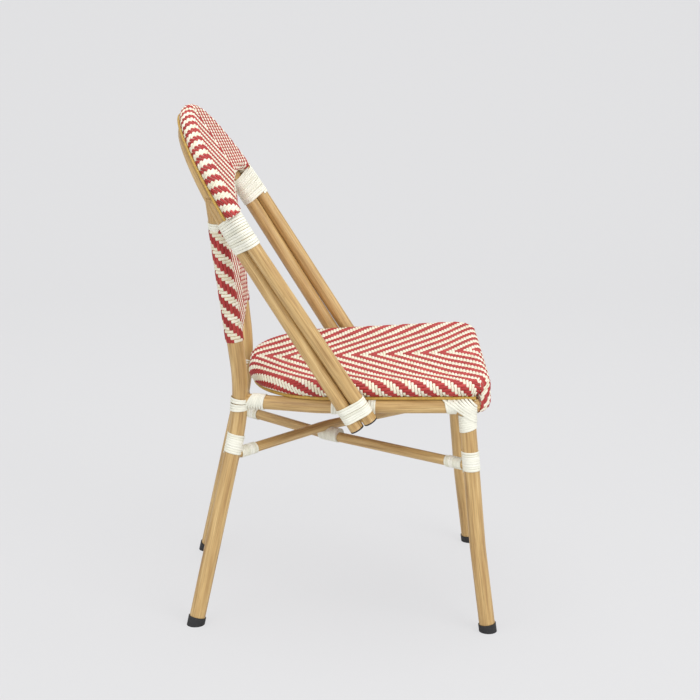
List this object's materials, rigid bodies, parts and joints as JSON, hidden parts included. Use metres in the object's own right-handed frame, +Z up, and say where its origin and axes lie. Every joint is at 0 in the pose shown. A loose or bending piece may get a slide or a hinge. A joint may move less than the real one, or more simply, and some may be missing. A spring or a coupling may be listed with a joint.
{
  "type": "outdoor chair",
  "caption": "Bistro chair with bamboo-look tube legs, a double hoop back that runs down to the seat, and woven seat, neck and arch panels bound with cream strap windings.",
  "frame": {"origin": "on the floor, midway between the feet", "axes": "+Z up, the chair's front faces -Y, +X to the sitter's left"},
  "size_m": [0.4824, 0.5573, 0.8987],
  "materials": {
    "bamboo_tube": "satin bamboo grain",
    "inner_tube": "mill",
    "weave": "red and cream woven strand, satin",
    "binding_cream": "satin",
    "trim_gold": "satin",
    "cap_black": "matt"
  },
  "bodies": {
    "root": {"arch_bar": "inner_tube", "arch_trim": "trim_gold", "arch_weave": "weave", "back_hoop_front": "bamboo_tube", "back_hoop_rear": "bamboo_tube", "crossing_winding": "binding_cream", "foot_cap_front_left": "cap_black", "foot_cap_front_right": "cap_black", "foot_cap_rear_left": "cap_black", "foot_cap_rear_right": "cap_black", "front_joint_winding_left": "binding_cream", "front_joint_winding_right": "binding_cream", "front_leg_left": "bamboo_tube", "front_leg_right": "bamboo_tube", "front_stretcher_winding_left": "binding_cream", "front_stretcher_winding_right": "binding_cream", "hoop_end_plugs": "cap_black", "hoop_winding_lower_left": "binding_cream", "hoop_winding_lower_right": "binding_cream", "hoop_winding_upper_left": "binding_cream", "hoop_winding_upper_right": "binding_cream", "neck_bar_bottom": "inner_tube", "neck_bar_top": "inner_tube", "neck_ring_left": "binding_cream", "neck_ring_right": "binding_cream", "neck_weave": "weave", "rail_loops_left": "binding_cream", "rail_loops_right": "binding_cream", "rear_joint_winding_left": "binding_cream", "rear_joint_winding_right": "binding_cream", "rear_leg_left": "bamboo_tube", "rear_leg_right": "bamboo_tube", "rear_stretcher_winding_left": "binding_cream", "rear_stretcher_winding_right": "binding_cream", "seat_rail": "bamboo_tube", "seat_ring": "inner_tube", "seat_trim": "trim_gold", "seat_weave": "weave", "stretcher_lower": "bamboo_tube", "stretcher_upper": "bamboo_tube"}
  },
  "joints": []
}
